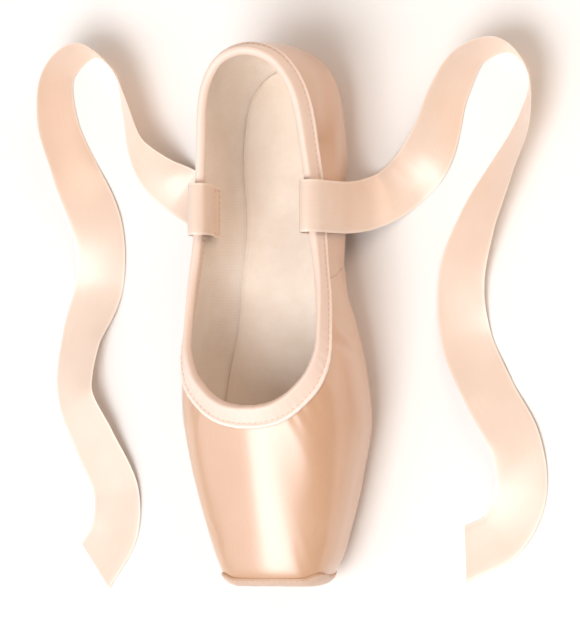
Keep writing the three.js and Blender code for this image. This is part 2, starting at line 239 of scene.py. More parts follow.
# Cotton canvas is a plain undyed weave: matt and cream. Its threads are drawn 1.3 mm apart, about twice as
# coarse as they are, so that they show. Brushed cotton has a short soft nap instead of visible threads.
# Suede is split leather with a raised nap: no gloss, a soft mottled tone, scuffed where it is flat.
clothWeave = {
    "gloss": 0.25, "sheen": 0.25, "sheenRough": 0.6, "relief": 0.6,
    "waveLength": 0.314,  # what a wave of scale 1 repeats after
    "grainShare": 0.2, "tone": (0.32, 0.66),
    "scuff": (17.0, 2.6, 9.0), "scuffed": (0.58, 0.74),  # a scuff's size in mm, and the noise that shows
}
clothLooks = {
    "lining": {"name": "cotton canvas, plain woven", "shade": "F0E1D2", "light": "F8EDE2", "rough": 0.92,
               "thread": 1.3, "cloud": 14.0, "bump": 0.06},
    "sock": {"name": "brushed cotton, woven", "shade": "EDDDCC", "light": "F6EADD", "rough": 0.95,
             "grain": 0.9, "cloud": 18.0, "bump": 0.14},
    "suede": {"name": "chrome suede, buffed", "shade": "CDBDA7", "light": "D6C8B5", "rough": 0.93,
              "grain": 0.8, "cloud": 11.0, "bump": 0.12, "scuff": ("E2D8C9", 0.55)},
}


def cloth(look):
    weave = clothWeave
    material, tree, shader = newMaterial(look["name"], {
        "Roughness": look["rough"], "Specular IOR Level": weave["gloss"],
        "Sheen Weight": weave["sheen"], "Sheen Roughness": weave["sheenRough"]})
    spot = addNode(tree, "ShaderNodeTexCoord", out="Object")
    if "thread" in look:
        waves = {"Vector": addNode(tree, "ShaderNodeUVMap", uv_map="weave"), "Distortion": 0.8, "Detail": 1.0,
                 "Scale": weave["waveLength"] / (look["thread"] * mm)}
        warp, weft = (addNode(tree, "ShaderNodeTexWave", waves, "Fac", bands_direction=way) for way in "XY")
        grain = addNode(tree, "ShaderNodeMath", {0: warp, 1: weft}, operation="MULTIPLY")
    else:
        grain = noise(tree, spot, look["grain"], 4.0, 0.7)
    colour = toned(tree, look, weave, noise(tree, spot, look["cloud"], 5.0, 0.62), grain)
    if "scuff" in look:
        scuffColour, weight = look["scuff"]
        rubbed = ranged(tree, noise(tree, spot, weave["scuff"], 4.0, 0.7), weave["scuffed"], 0.0, weight)
        colour = mixed(tree, rubbed, colour, linear(scuffColour))
    dress(tree, shader, look, weave, colour, grain)
    return material


# Sewing thread is spun polyester, dyed to the satin: a dull twist, a shade deeper than the cloth.
threadLook = {"name": "polyester sewing thread, spun", "shade": "DDB396", "light": "EFD0B8",
              "rough": 0.55, "gloss": 0.4, "twist": 0.4}


def sewingThread(look):
    material, tree, shader = newMaterial(look["name"], {
        "Roughness": look["rough"], "Specular IOR Level": look["gloss"]})
    twist = noise(tree, addNode(tree, "ShaderNodeTexCoord", out="Object"), look["twist"])
    colour = mixed(tree, twist, linear(look["shade"]), linear(look["light"]))
    tree.links.new(colour, shader.inputs["Base Color"])
    return material


satinUpper, satinTape, satinRibbon, satinCap = (satin(look) for look in satinLooks.values())
cottonLining, cottonSock, soleSuede = (cloth(look) for look in clothLooks.values())
thread = sewingThread(threadLook)
print("stage: materials")

# The last: the sections that all the sewn pieces follow, in millimetres

lastSizes = {
    "heelX": -116.0, "toeX": 116.0, "length": 231.0, "ballWidth": 81.0,
    "heelHeight": 60.0, "waistHeight": 46.0, "instepHeight": 56.0,
    "soleLift": 2.9, "archHeight": 6.0, "toeSpring": 6.0,
    "heelFlatEnd": -54.0, "ballFlatStart": 16.0, "springStart": 60.0,
    "heelCollar": -111.0, "collarDip": -26.0, "throat": 41.0, "heelSweep": 1.8, "throatSweep": 1.6,
    "quarterWall": 2.0, "boxWall": 3.0, "wallChange": (0.5, 0.72), "lastingMargin": 4.0,
}
last = SimpleNamespace(**lastSizes)
sectionColumns = ["turn", "wallAlong", "wallOut", "shoulderUp", "collarAlong", "collarOut",
                  "edgeAlong", "edgeOut", "lowPull", "highPull"]
mirror = np.array([-1, 1, -1, 1, 1, -1, 1, -1, 1, 1])
sectionRows = np.array([
    [0.000, 0.000, 0.000, 0.767, 0.024, 0.000, 0.056, 0.000, 1.0, 0.9],
    [0.065, 0.024, 0.407, 0.758, 0.043, 0.309, 0.069, 0.222, 1.0, 0.9],
    [0.130, 0.087, 0.642, 0.717, 0.097, 0.506, 0.117, 0.390, 1.0, 0.9],
    [0.240, 0.217, 0.736, 0.650, 0.216, 0.605, 0.221, 0.444, 0.9, 0.9],
    [0.370, 0.368, 0.736, 0.600, 0.362, 0.674, 0.368, 0.370, 0.8, 0.9],
    [0.480, 0.498, 0.830, 0.608, 0.470, 0.736, 0.498, 0.457, 0.9, 0.9],
    [0.577, 0.606, 0.953, 0.642, 0.554, 0.748, 0.606, 0.593, 1.2, 0.9],
    [0.652, 0.693, 1.000, 0.667, 0.608, 0.674, 0.693, 0.654, 1.4, 0.95],
    [0.744, 0.801, 0.888, 0.650, 0.651, 0.481, 0.788, 0.630, 1.7, 1.15],
    [0.833, 0.901, 0.745, 0.560, 0.673, 0.284, 0.857, 0.530, 2.2, 1.8],
    [0.889, 0.964, 0.628, 0.505, 0.678, 0.178, 0.892, 0.440, 2.6, 3.0],
    [0.920, 0.994, 0.512, 0.508, 0.679, 0.126, 0.909, 0.345, 3.0, 4.5],
    [0.942, 1.000, 0.375, 0.543, 0.680, 0.092, 0.918, 0.224, 3.2, 6.0],
    [1.000, 1.000, 0.000, 0.575, 0.680, 0.000, 0.921, 0.000, 3.2, 6.0],
])
# a mirrored row beyond the heel and one beyond the toe
lastRows = np.vstack([sectionRows[1] * mirror, sectionRows, sectionRows[-2] * mirror])
lastRows[-1, 0] += 2
arcSamples = 241  # points that an arc's length is measured by
outlineSamples = 2001
turnStep = 0.002  # either side of a turn, for the direction of an outline there
shareStep = 1e-4  # and of a ribbon's way


def smooth(value, low, high):
    t = np.clip((value - low) / (high - low), 0, 1)
    return t * t * (3 - 2 * t)


def unit(vectors):
    return vectors / np.maximum(np.linalg.norm(vectors, axis=-1, keepdims=True), 1e-9)


# One column of the table at each turn, by a curve that doesn't overshoot its rows
def columnAt(column, turn):
    x = lastRows[:, 0]
    y = lastRows[:, sectionColumns.index(column)]
    width = np.diff(x)
    steep = np.diff(y) / width
    mean = (steep[:-1] * width[1:] + steep[1:] * width[:-1]) / (width[:-1] + width[1:])
    least = np.minimum(np.minimum(abs(steep[:-1]), abs(steep[1:])), abs(mean) / 2)
    slope = (np.sign(steep[:-1]) + np.sign(steep[1:])) * least
    i = np.clip(np.searchsorted(x, turn) - 1, 1, len(x) - 3)
    t = (turn - x[i]) / width[i]
    between = y[i] + (y[i + 1] - y[i]) * t * t * (3 - 2 * t)
    return between + width[i] * t * (1 - t) * (slope[i - 1] * (1 - t) - slope[i] * t)


def underside(x):
    arch = np.clip((x - last.heelFlatEnd) / (last.ballFlatStart - last.heelFlatEnd), 0, 1)
    spring = np.clip((x - last.springStart) / (last.toeX - last.springStart), 0, None)
    archLift = last.archHeight * np.sin(np.pi * arch) ** 2
    return last.soleLift + archLift + last.toeSpring * spring ** 2


def collarHeight(x):
    back = np.clip((x - last.collarDip) / (last.heelCollar - last.collarDip), 0, 1)
    front = np.clip((x - last.collarDip) / (last.throat - last.collarDip), 0, 1)
    backRise = (last.heelHeight - last.waistHeight) * back ** last.heelSweep
    frontRise = (last.instepHeight - last.waistHeight) * front ** last.throatSweep
    return last.waistHeight + backRise + frontRise


def wallThickness(turn):
    return last.quarterWall + (last.boxWall - last.quarterWall) * smooth(turn, *last.wallChange)


# Points of an outline in plan, and its outward directions
def outlineAt(outline, turn, side):
    def point(at):
        folded = np.where(at < 0, -at, np.minimum(at, 2 - at))
        out = columnAt(outline + "Out", folded) * last.ballWidth / 2
        along = last.heelX + columnAt(outline + "Along", folded) * last.length
        return np.stack([along, np.where((at < 0) | (at > 1), -out, out)], -1)
    ahead = unit(point(turn + turnStep) - point(turn - turnStep))
    at = point(turn)
    return np.stack([at[:, 0], side * at[:, 1]], -1), np.stack([-ahead[:, 1], side * ahead[:, 0]], -1)


def above(plan, z):
    return np.concatenate([plan, z[:, None]], -1)


# One section at each turn, inset from the outer face: each arc's start, corner, end and pull
def sectionAt(turn, side, inset):
    wall, wallOut = outlineAt("wall", turn, side)
    edge, edgeOut = outlineAt("edge", turn, side)
    collar, collarOut = outlineAt("collar", turn, side)
    inset = np.broadcast_to(inset, turn.shape)
    collarZ = collarHeight(collar[:, 0])
    shoulderZ = columnAt("shoulderUp", turn) * last.heelHeight
    run = np.linalg.norm(wall - collar, axis=1)
    climb = collarZ - shoulderZ
    slope = np.hypot(run, climb)
    wallPlan = wall - inset[:, None] * wallOut
    collarPlan = collar - (inset * climb / slope)[:, None] * collarOut
    drop = -inset * run / slope + (inset - inset * climb / slope) / run * climb
    foot = above(wallPlan, underside(wall[:, 0]) + inset)
    shoulder = above(wallPlan, shoulderZ + drop)
    top = above(collarPlan, collarZ - inset * run / slope)
    foldPlan = edge - last.lastingMargin * edgeOut
    middle = (foot + shoulder) / 2
    return {
        "low": (above(edge, underside(edge[:, 0]) + inset), foot, middle, columnAt("lowPull", turn)),
        "high": (middle, shoulder, top, columnAt("highPull", turn)),
        "top": top, "rise": unit(top - shoulder), "fold": above(foldPlan, underside(foldPlan[:, 0]) + inset),
    }


def conic(start, corner, end, pull, t):
    a = ((1 - t) ** 2)[..., None]
    b = (2 * pull[:, None] * t * (1 - t))[..., None]
    c = (t * t)[..., None]
    return (a * start[:, None] + b * corner[:, None] + c * end[:, None]) / (a + b + c)


def runLength(points):
    steps = np.linalg.norm(np.diff(points, axis=-2), axis=-1)
    return np.concatenate([np.zeros(steps.shape[:-1] + (1,)), np.cumsum(steps, -1)], -1)


def closedRun(ring):
    return runLength(np.vstack([ring, ring[:1]]))


# Points along one arc from share to share, spread partly by length and partly towards its corner
def arcRows(section, arc, first, final, count, evenness=0.6):
    corners = section[arc]
    even = np.linspace(0, 1, arcSamples)
    final = np.broadcast_to(final, (len(corners[0]),))
    t = first + even * (final - first)[:, None]
    length = runLength(conic(*corners, t))
    spread = evenness * length / length[:, -1:] + (1 - evenness) * even
    wanted = np.linspace(0, 1, count + 1)
    return conic(*corners, np.stack([np.interp(wanted, spread[i], t[i]) for i in range(len(t))]))


# Points that lie a given depth below the collar, measured along the high arc
def atDepth(turn, side, inset, depth):
    corners = sectionAt(turn, side, inset)["high"]
    t = np.broadcast_to(np.linspace(0, 1, arcSamples), (len(turn), arcSamples))
    length = runLength(conic(*corners, t))
    depth = np.broadcast_to(depth, turn.shape)
    picked = np.stack([np.interp(length[i, -1] - depth[i], length[i], t[i]) for i in range(len(turn))])
    return conic(*corners, picked[:, None])[:, 0]


# Turns from the heel up the left side to the toe and back down the right, evenly spaced along the wall
def stationsRound(count):
    half = count // 2
    fine = np.linspace(0, 1, outlineSamples)
    steps = runLength(outlineAt("wall", fine, 1.0)[0]) + runLength(outlineAt("collar", fine, 1.0)[0]) / 2
    left = np.interp(np.linspace(0, steps[-1], half + 1), steps, fine)
    return np.concatenate([left, left[-2:0:-1]]), np.concatenate([np.ones(half + 1), -np.ones(half - 1)])


# Soft waves along a closed way, the same on each run: a few sines whose lengths lie about the spacing
waveMix = {"fewest": 0.6, "most": 1.5, "draws": 9, "phase": 6.28, "weakest": 0.5}


def softWaves(along, total, look):
    picker = np.random.default_rng(look["seed"])
    fewest = max(1, int(total / look["spacing"] * waveMix["fewest"]))
    most = int(total / look["spacing"] * waveMix["most"]) + 2
    waves = np.zeros_like(along)
    for count in np.unique(picker.integers(fewest, most, waveMix["draws"])):
        wave = np.sin(2 * np.pi * count * along / total + picker.uniform(0, waveMix["phase"]))
        waves += wave * picker.uniform(waveMix["weakest"], 1)
    return waves / max(1e-6, np.abs(waves).max())


def gridNormals(grid, isLoop):
    if isLoop:
        along = np.roll(grid, -1, 0) - np.roll(grid, 1, 0)
    else:
        along = np.gradient(grid, axis=0)
    return unit(np.cross(along, np.gradient(grid, axis=1)))


# How much of a row of waves shows at each turn
def swell(turn, look):
    grown = smooth(turn, *look["grow"]) * (1 - look["calm"] * smooth(turn, *look["end"]))
    return look["least"] + (1 - look["least"]) * grown


# A piece that stands for a CAD node: a closed mesh through rings of points in mm, joined in a loop or
# capped at both ends, with its place in the weave as UV and its marks as attributes
def makePiece(node, name, grid, weave, materials, marks=None, isLoop=False, bands=None, sharpDegrees=None):
    n, m = grid.shape[:2]
    if weave.shape[1] == m:
        weave = np.concatenate([weave, weave[:, :1]], 1)
    i, j = np.meshgrid(np.arange(n if isLoop else n - 1), np.arange(m), indexing="ij")
    nextI = (i + 1) % n
    nextJ = (j + 1) % m
    quads = np.stack([i * m + j, nextI * m + j, nextI * m + nextJ, i * m + nextJ], -1).reshape(-1, 4)
    corners = np.stack([weave[i, j], weave[i + 1, j], weave[i + 1, j + 1], weave[i, j + 1]], 2)
    corners = corners.reshape(-1, 4, 2)
    ends = [] if isLoop else [list(range(m))[::-1], list(range((n - 1) * m, n * m))]
    points = grid.reshape(-1, 3)
    a, b, c, d = (points[quads[:, k]] for k in range(4))
    if (a * np.cross(b, c)).sum() + (a * np.cross(c, d)).sum() < 0:  # the faces point inwards
        quads = quads[:, ::-1]
        corners = corners[:, ::-1]
        ends = [end[::-1] for end in ends]
    mesh = bpy.data.meshes.new(name)
    mesh.from_pydata((points * mm).tolist(), [], quads.tolist() + ends)
    flat = np.concatenate([corners.reshape(-1, 2), np.zeros((sum(map(len, ends)), 2))]) * mm
    mesh.uv_layers.new(name="weave").data.foreach_set("uv", flat.ravel())
    for material in materials:
        mesh.materials.append(material)
    if bands is not None:
        mesh.polygons.foreach_set("material_index", bands[j].ravel())
    mesh.shade_smooth()
    mesh.update()
    for mark, values in (marks or {}).items():
        values = np.array(np.broadcast_to(values, (n, m)), float)
        mesh.attributes.new(mark, "FLOAT", "POINT").data.foreach_set("value", values.ravel())
    if sharpDegrees:
        mesh.set_sharp_from_angle(angle=math.radians(sharpDegrees))
    piece = place(name, mesh)
    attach(piece, "root")
    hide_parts(node)
    return piece


# How far each point lies from a way on the surface, and how far along the way its nearest place is
def nearWay(points, way):
    gap = np.full(len(points), np.inf)
    share = np.zeros(len(points))
    for k in range(len(way) - 1):
        step = way[k + 1] - way[k]
        t = np.clip((points - way[k]) @ step / (step @ step), 0, 1)
        distance = np.linalg.norm(points - way[k] - t[:, None] * step, axis=1)
        share = np.where(distance < gap, (k + t) / (len(way) - 1), share)
        gap = np.minimum(gap, distance)
    return gap, share


print("stage: last")

# Ribbons: sewn to the lining, over the collar, and laid loose on the floor, the free end cut on the slant

ribbonLook = {
    "width": 22.0, "thick": 0.5, "length": 0.42, "rows": 300, "across": 14,
    "slant": 5.0, "slantFrom": 0.985,  # how far the cut leans, and the share of the length where it starts
    "selvedge": {"power": 8, "least": 0.2},
    "cup": 0.35, "ripple": 0.45, "loose": (60, 110), "tail": 30, "tailCalm": 0.4,
    "waves": [(9.5, 1, 0.6), (5.3, 2, 0.4)],  # length of a ripple, phase and share
    "floorGap": 0.4, "standThick": 0.8, "lowest": 0.08,
    "settleRows": 4, "exitRow": 4, "pathStep": 4, "sharpDegrees": 60,
    "climb": [(-44, 25.2, 24), (-44, 24.4, 32), (-44, 21.7, 39), (-44, 20.9, 46), (-44, 22.3, 50.4),
              (-44, 26, 51.8), (-44, 29.5, 48.6), (-44.2, 30.8, 40), (-44.6, 32, 29), (-45.4, 33.6, 18),
              (-47.4, 37.8, 8.5), (-51.2, 44.5, 2.6)],
    # along, out to the side, and how far the ribbon leans over, in degrees
    "left": [(-57, 52, 5), (-65, 60.5, 22), (-78, 68, 46), (-94, 74, 62), (-109, 84, 74), (-113, 99, 78),
             (-101, 110, 74), (-81, 108, 60), (-60, 97, 42), (-38, 85, 24), (-14, 77, 8), (11, 79, -6),
             (34, 90, -22), (55, 101, -16), (77, 103, -6), (94, 94, 0), (102, 78, 0)],
    "right": [(-56, 52.5, 5), (-63, 62, 24), (-75, 71, 48), (-93, 76, 62), (-110, 82, 74), (-119, 95, 78),
              (-109, 108, 76), (-88, 109, 62), (-65, 101, 42), (-41, 92, 20), (-16, 92, 4), (8, 100, -14),
              (32, 102, -24), (54, 93, -14), (75, 84, -2), (93, 85, 0), (108, 94, 0)],
}


# A centripetal curve through the points, and its direction, at even shares of the rows
def routeAt(points, shares):
    def curveAt(share):
        at = np.clip(share, 0, 1) * (len(points) - 1)
        i = np.minimum(at.astype(int), len(points) - 2)
        t = (at - i)[:, None]
        padded = np.vstack([2 * points[0] - points[1], points, 2 * points[-1] - points[-2]])
        a, b, c, d = (padded[i + k] for k in range(4))
        gaps = [np.sqrt(np.linalg.norm(q - p, axis=1, keepdims=True)) for p, q in ((a, b), (b, c), (c, d))]
        leave = ((b - a) / gaps[0] - (c - a) / (gaps[0] + gaps[1]) + (c - b) / gaps[1]) * gaps[1]
        arrive = ((c - b) / gaps[1] - (d - b) / (gaps[1] + gaps[2]) + (d - c) / gaps[2]) * gaps[1]
        squared = 3 * c - 3 * b - 2 * leave - arrive
        cubed = 2 * b - 2 * c + leave + arrive
        return b + leave * t + squared * t ** 2 + cubed * t ** 3
    return curveAt(shares), unit(curveAt(shares + shareStep) - curveAt(shares - shareStep))


def turnedAbout(vectors, axis, angle):
    cos = np.cos(angle)[:, None]
    sin = np.sin(angle)[:, None]
    along = axis * (axis * vectors).sum(1, keepdims=True)
    return vectors * cos + np.cross(axis, vectors) * sin + along * (1 - cos)


def makeRibbon(name, node, route, side):
    look = SimpleNamespace(**ribbonLook)
    half = look.width / 2
    climb = np.array(look.climb, float) * (1, side, 1)
    x, y, lean = np.array(route, float).T
    lie = np.stack([x, side * y, look.floorGap + half * np.abs(np.sin(np.radians(lean)))], -1)
    points = np.vstack([climb, lie])
    leans = np.radians(np.concatenate([np.zeros(len(climb)), lean])) * side
    shares = np.linspace(0, 1, look.rows + 1)
    centre, along = routeAt(points, shares)
    at = shares * (len(points) - 1)
    settled = smooth(at, len(climb) - look.settleRows, len(climb))[:, None]
    flat = unit(np.cross((0.0, 0.0, 1.0), along))
    level = np.array((-side, 0.0, 0.0)) * (1 - settled) + flat * settled
    level = unit(level - along * (level * along).sum(1, keepdims=True))
    across = turnedAbout(level, along, np.interp(at, np.arange(len(points)), leans))
    face = unit(np.cross(along, across))
    stand = (np.abs(across[:, 2]) * look.width + np.abs(face[:, 2]) * look.standThick) / 2
    centre[:, 2] = np.maximum(centre[:, 2], stand)
    # across the ribbon: out along one face and back along the other, with thin rounded selvedges
    u = np.linspace(-1, 1, look.across + 1)
    least = look.selvedge["least"]
    edge = np.sqrt(np.clip(1 - np.abs(u) ** look.selvedge["power"], 0, 1)) * (1 - least) + least
    u = np.concatenate([u, u[::-1]])
    v = np.concatenate([edge, -edge[::-1]]) * look.thick / 2
    distance = runLength(centre)
    tail = smooth(distance, distance[-1] - look.tail, distance[-1])
    loose = smooth(distance, *look.loose) * (1 - look.tailCalm * tail)
    ripple = sum(np.sin(distance / length + phase * side) * share for length, phase, share in look.waves)
    bend = look.cup * (u[None] ** 2) * loose[:, None]
    bend = bend + look.ripple * np.abs(u[None]) ** 3 * (ripple * loose)[:, None] * np.sign(u[None])
    slant = look.slant * smooth(shares, look.slantFrom, 1.0)
    grid = centre[:, None] + across[:, None] * (u * half)[None, :, None]
    grid = grid + face[:, None] * (v[None] + bend)[..., None]
    grid = grid + along[:, None] * (slant[:, None] * u[None])[..., None]
    lowest = look.lowest + (v[None] + look.thick / 2) * np.abs(face[:, None, 2])
    grid[..., 2] = np.maximum(grid[..., 2], lowest)
    weave = np.stack(np.broadcast_arrays(distance[:, None], (u * half)[None]), -1)
    # the selvedge mark carries the painted highlight along the ribbon's edges
    ribbon = makePiece(node, name, grid, weave, [satinRibbon], {"selvedge": (1 - np.abs(u)) * half},
                       sharpDegrees=look.sharpDegrees)
    return centre, across, face


ribbonLeft = makeRibbon("ribbonLeft", "ribbon_left", ribbonLook["left"], 1.0)
ribbonRight = makeRibbon("ribbonRight", "ribbon_right", ribbonLook["right"], -1.0)
print("stage: ribbons")

# Upper: one closed wall, satin outside and cotton canvas inside, with its creases listed one by one

farMark = 60.0  # a gap in mm that no mark reaches
upperLook = {
    "stations": 440, "lowRows": 26, "highRows": 66, "liningLow": 10, "liningHigh": 24, "weaveRow": 30,
    "core": (0, 0, 20), "bindingDepth": 8.0,
    # small gathers below the binding, fewer at the quarters and at the throat
    "gather": {"depth": 0.34, "spacing": 7.0, "reach": 7.0, "sunk": 0.2, "seed": 3,
               "least": 0.35, "grow": (0.3, 0.5), "calm": 0.85, "end": (0.74, 0.88)},
    # pleats lasted in under the toe
    "pleat": {"depth": 0.40, "spacing": 5.2, "reach": 8.0, "seed": 8,
              "least": 0.25, "grow": (0.62, 0.8), "calm": 1.0, "end": (0.89, 0.93)},
    # the satin bulges beside the sole before it turns under
    "welt": {"depth": 0.45, "at": 7.0, "width": 2.8,
             "least": 0.0, "grow": (0.42, 0.54), "calm": 1.0, "end": (0.86, 0.92)},
    # seams are shallow grooves; the side seam leans from its turn at the sole to its turn at the collar
    "sideSeam": {"turn": (0.378, 0.452), "steps": 15, "depth": 0.32, "width": 1.5},
    "backSeam": {"turn": 0.3, "depth": 0.3, "width": 1.4},
    # the satin keeps the last's own face at the sole, under the binding and under the toe cap
    "hold": {"sole": (0.0, 3.0), "collar": (-1.0, 0.6), "capTurn": (0.87, 0.90), "capShare": (0.44, 0.54)},
    # the pasted box rounds off the last's edges on the vamp
    "ease": {"reach": 8, "most": 1.5, "sideMost": 0.2, "topMore": 1.3, "top": (0.44, 0.54),
             "turn": (0.70, 0.80), "share": (0.30, 0.42), "collar": (-1.0, 2.0)},
    # where the top of the box is one even curve, and the sizes in mm that scale its terms
    "crown": {"turn": (0.78, 0.86), "share": (0.45, 0.55), "least": 0.02, "powers": 4,
              "middle": 80, "halfLength": 40, "halfWidth": 30},
    "creaseSteps": 13, "creaseEnds": {"start": 0.08, "span": 0.84, "power": 0.7},
    # side, three places of the way as turn and share of the height, width and depth in mm (a ridge is up)
    "creases": [
        # pull from the throat
        (-1, 0.77, 0.90, 0.83, 0.80, 0.90, 0.68, 6.0, -0.18),
        # wing ridge
        (1, 0.70, 0.86, 0.76, 0.66, 0.83, 0.45, 8.5, 0.4),
        (-1, 0.69, 0.86, 0.75, 0.66, 0.83, 0.45, 8.5, 0.35),
        # wing trough
        (1, 0.62, 0.84, 0.66, 0.62, 0.70, 0.40, 5.0, -0.5),
        (-1, 0.63, 0.84, 0.67, 0.62, 0.72, 0.40, 5.5, -0.5),
        # joint pucker
        (1, 0.555, 0.86, 0.545, 0.70, 0.55, 0.50, 2.6, -0.8),
        (1, 0.525, 0.86, 0.53, 0.72, 0.545, 0.55, 2.4, 0.5),
        (-1, 0.545, 0.86, 0.535, 0.70, 0.54, 0.52, 2.8, -0.7),
        # flex fold
        (1, 0.47, 0.20, 0.45, 0.40, 0.40, 0.56, 4.5, -0.7),
        (-1, 0.46, 0.18, 0.44, 0.40, 0.39, 0.58, 4.5, -0.75),
        # waist ridge
        (1, 0.41, 0.12, 0.37, 0.36, 0.30, 0.56, 6.0, 0.6),
        (-1, 0.42, 0.12, 0.37, 0.38, 0.29, 0.58, 6.0, 0.65),
        # waist trough
        (1, 0.35, 0.10, 0.30, 0.30, 0.22, 0.44, 5.5, -0.7),
        (-1, 0.355, 0.10, 0.31, 0.32, 0.235, 0.46, 5.5, -0.7),
        # quarter ridge
        (1, 0.06, 0.26, 0.15, 0.42, 0.25, 0.64, 8.0, 1.0),
        (-1, 0.07, 0.24, 0.16, 0.42, 0.26, 0.66, 8.0, 1.05),
        # quarter trough
        (1, 0.09, 0.56, 0.17, 0.66, 0.24, 0.84, 7.0, -0.8),
        (-1, 0.10, 0.54, 0.18, 0.66, 0.26, 0.84, 7.0, -0.8),
        # heel tuck
        (1, 0.03, 0.12, 0.09, 0.2, 0.16, 0.22, 4.0, -0.5),
        (-1, 0.04, 0.12, 0.10, 0.2, 0.17, 0.22, 4.0, -0.5),
    ],
}


# Both arcs of each section as one row of points
def sectionRowsOf(section, lowCount, highCount):
    low = arcRows(section, "low", 0, 1, lowCount)
    return np.concatenate([low, arcRows(section, "high", 0, 1, highCount)[:, 1:]], 1)


def upperSkin():
    look = SimpleNamespace(**upperLook)
    turn, side = stationsRound(look.stations)
    outer = sectionAt(turn, side, 0.0)
    points = sectionRowsOf(outer, look.lowRows, look.highRows)
    normals = gridNormals(points, True)
    middle = look.lowRows
    normals *= np.sign((normals[:, middle] * (points[:, middle] - look.core)).sum(-1).mean())
    height = runLength(points)
    total = height[:, -1:]
    return SimpleNamespace(
        turn=turn, side=side, outer=outer, points=points, normals=normals, height=height,
        share=height / total, toCollar=total - height - look.bindingDepth)


def spotAt(skin, atTurn, atSide, atShare):
    ring = np.where(skin.side == atSide)[0]
    ring = ring[np.argsort(skin.turn[ring])]
    spot = np.interp(atTurn, skin.turn[ring], np.arange(len(ring)))
    first = min(int(spot), len(ring) - 2)
    a, b = (np.array([np.interp(atShare, skin.share[i], skin.points[i, :, k]) for k in range(3)])
            for i in ring[first:first + 2])
    return a + (b - a) * (spot - first)


# Troughs and ridges along bent ways, fading out at their ends
def creaseLift(skin):
    ends = upperLook["creaseEnds"]
    points = skin.points.reshape(-1, 3)
    s = np.linspace(0, 1, upperLook["creaseSteps"])[:, None]
    lift = np.zeros(len(points))
    for side, *way, width, depth in upperLook["creases"]:
        a, b, c = np.reshape(way, (3, 2))
        bent = a * (1 - s) * (1 - 2 * s) + 4 * b * s * (1 - s) + c * s * (2 * s - 1)
        gap, along = nearWay(points, np.array([spotAt(skin, p[0], side, p[1]) for p in bent]))
        fade = np.sin(np.pi * np.clip(ends["start"] + ends["span"] * along, 0, 1)) ** ends["power"]
        lift += depth * np.exp(-(gap / width) ** 2) * fade
    return lift.reshape(skin.share.shape)


# Gathers at the collar, pleats and welt at the sole
def edgeLift(skin):
    gather, pleat, welt = (upperLook[name] for name in ("gather", "pleat", "welt"))
    turn, points, height = skin.turn, skin.points, skin.height
    run = closedRun(points[:, -1])
    weight = gather["least"] + (1 - gather["least"]) * smooth(turn, *gather["grow"])
    weight = weight * (1 - gather["calm"] * smooth(turn, *gather["end"]))
    waves = softWaves(run[:-1], run[-1], gather) * weight
    near = np.exp(-np.clip(skin.toCollar, 0, None) / gather["reach"])
    lift = (waves[:, None] - gather["sunk"]) * gather["depth"] * near
    run = closedRun(points[:, 0])
    waves = softWaves(run[:-1], run[-1], pleat) * swell(turn, pleat)
    lift = lift + waves[:, None] * pleat["depth"] * np.exp(-(height / pleat["reach"]) ** 2)
    bulge = np.exp(-((height - welt["at"]) / welt["width"]) ** 2)
    return lift + swell(turn, welt)[:, None] * welt["depth"] * bulge


# A blur over a few stations round the shoe and a few points up each row
def softened(grid, reach):
    steps = np.arange(-3 * reach, 3 * reach + 1)
    weights = np.exp(-0.5 * (steps / reach) ** 2)
    weights /= weights.sum()
    grid = sum(w * np.roll(grid, s, 0) for w, s in zip(weights, steps))
    rows = np.arange(grid.shape[1])
    return sum(w * grid[:, np.clip(rows + s, 0, rows[-1])] for w, s in zip(weights, steps))


# How far the box's skin moves to lie in one even curve on the vamp
def boxEase(skin):
    ease, crown = (upperLook[name] for name in ("ease", "crown"))
    turn, share, points, normals = skin.turn, skin.share, skin.points, skin.normals
    once = softened(points, ease["reach"])
    shift = ((2 * once - softened(once, ease["reach"]) - points) * normals).sum(-1)
    shift = ease["most"] * np.tanh(shift / ease["most"])
    shift = np.minimum(shift, ease["sideMost"] + ease["topMore"] * smooth(share, *ease["top"]))
    eased = points + normals * shift[..., None]
    onTop = smooth(share, *crown["share"]) * smooth(turn, *crown["turn"])[:, None]
    along = (eased[..., 0] - crown["middle"]) / crown["halfLength"]
    aside = (eased[..., 1] / crown["halfWidth"]) ** 2
    powers = range(crown["powers"])
    terms = np.stack([along ** i * aside ** j for i in powers for j in powers], -1)
    fitted = onTop > crown["least"]
    curve = np.linalg.lstsq(terms[fitted], eased[fitted][:, 2], rcond=None)[0]
    shift = shift + (terms @ curve - eased[..., 2]) * normals[..., 2] * onTop
    where = smooth(turn, *ease["turn"])[:, None] * smooth(share, *ease["share"])
    return shift * (where * smooth(skin.toCollar, *ease["collar"]))


def sideSeamGap(skin):
    low, high = upperLook["sideSeam"]["turn"]
    shares = np.linspace(0, 1, upperLook["sideSeam"]["steps"])
    gap = np.full(skin.share.shape, farMark)
    for side in (1, -1):
        way = np.array([spotAt(skin, low + (high - low) * s, side, s) for s in shares])
        near = nearWay(skin.points.reshape(-1, 3), way)[0].reshape(gap.shape)
        gap = np.where((skin.side == side)[:, None], near, gap)
    return gap, np.where(skin.turn[:, None] > low + (high - low) * skin.share, 1, -1)


